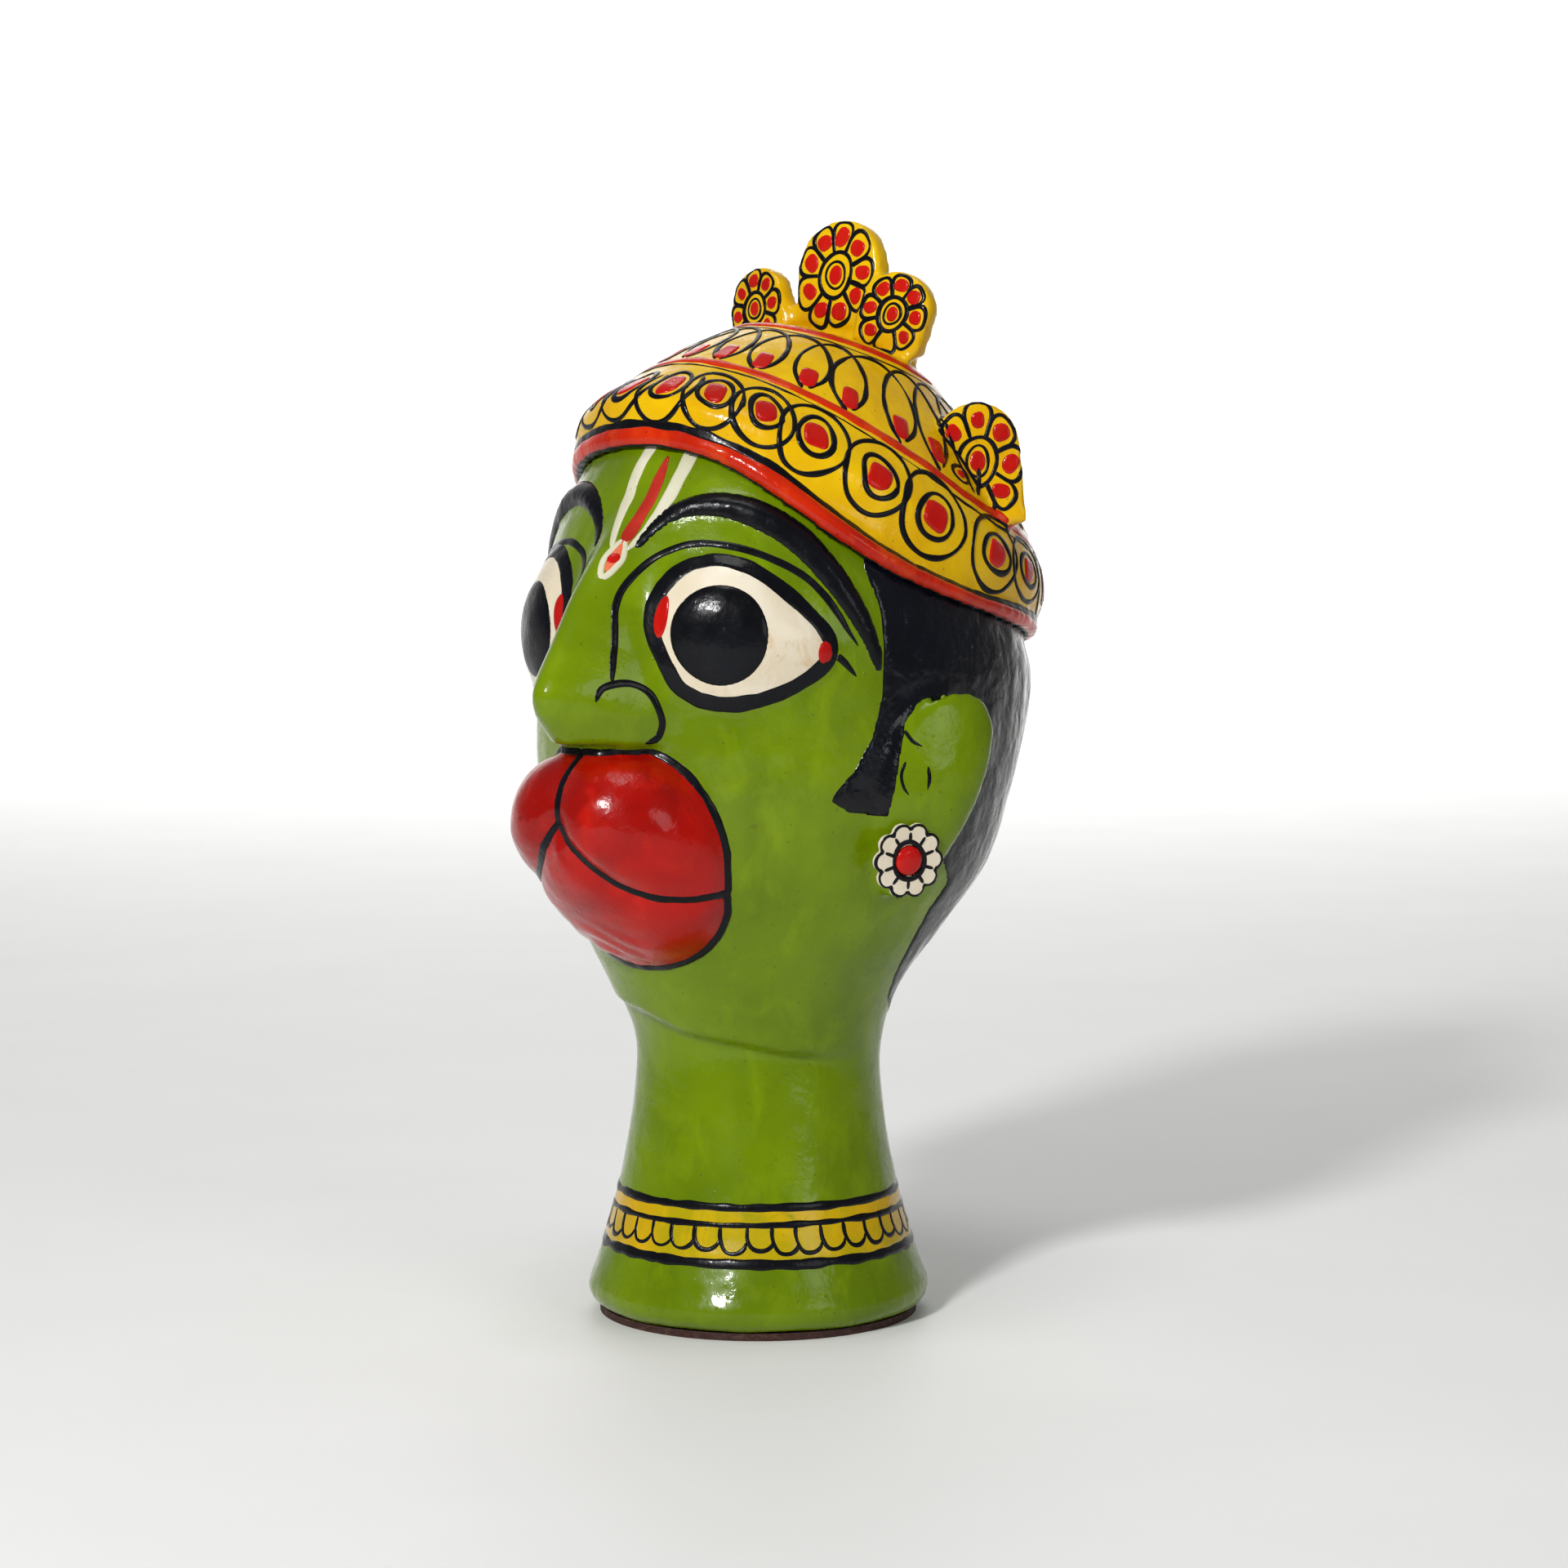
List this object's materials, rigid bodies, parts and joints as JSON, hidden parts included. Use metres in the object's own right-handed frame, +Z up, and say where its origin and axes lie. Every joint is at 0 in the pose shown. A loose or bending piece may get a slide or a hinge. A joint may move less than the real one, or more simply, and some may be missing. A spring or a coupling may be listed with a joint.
{
  "type": "painted puppet head",
  "caption": "Standing folk puppet head in painted papier-mache, with a long flared hollow neck, red muzzle, standing ears and a tall petalled crown.",
  "frame": {"origin": "on the neck's axis at the underside of the foot", "axes": "+Z up through the neck, the face looks along -Y, and +X is the puppet's own left"},
  "size_m": [0.1092, 0.1367, 0.2265],
  "materials": {
    "green_lacquer": "hand-painted gloss varnish",
    "black_lacquer": "hand-painted gloss varnish",
    "red_lacquer": "hand-painted gloss varnish",
    "yellow_lacquer": "hand-painted gloss varnish",
    "white_lacquer": "hand-painted gloss varnish",
    "orange_lacquer": "hand-painted gloss varnish",
    "bare_pulp": "raw paper pulp",
    "brown_edge": "worn matt paint"
  },
  "bodies": {
    "root": {"neck_tube": "green_lacquer", "foot_ring": "brown_edge", "face_shell": "green_lacquer", "back_shell": "black_lacquer", "seam_strips": "bare_pulp", "nose": "green_lacquer", "muzzle_left": "red_lacquer", "muzzle_right": "red_lacquer", "lower_lip": "red_lacquer", "brow_left": "black_lacquer", "brow_right": "black_lacquer", "eye_left": "white_lacquer", "eye_right": "white_lacquer", "ear_left": "green_lacquer", "ear_right": "green_lacquer", "earring_left": "white_lacquer", "earring_right": "white_lacquer", "earring_bead_left": "red_lacquer", "earring_bead_right": "red_lacquer", "crown_rim": "orange_lacquer", "crown_band": "yellow_lacquer", "crown_dome": "yellow_lacquer", "crest_seat": "yellow_lacquer", "crest_centre": "yellow_lacquer", "crest_left": "yellow_lacquer", "crest_right": "yellow_lacquer", "side_crest_left": "yellow_lacquer", "side_crest_right": "yellow_lacquer"}
  },
  "joints": []
}
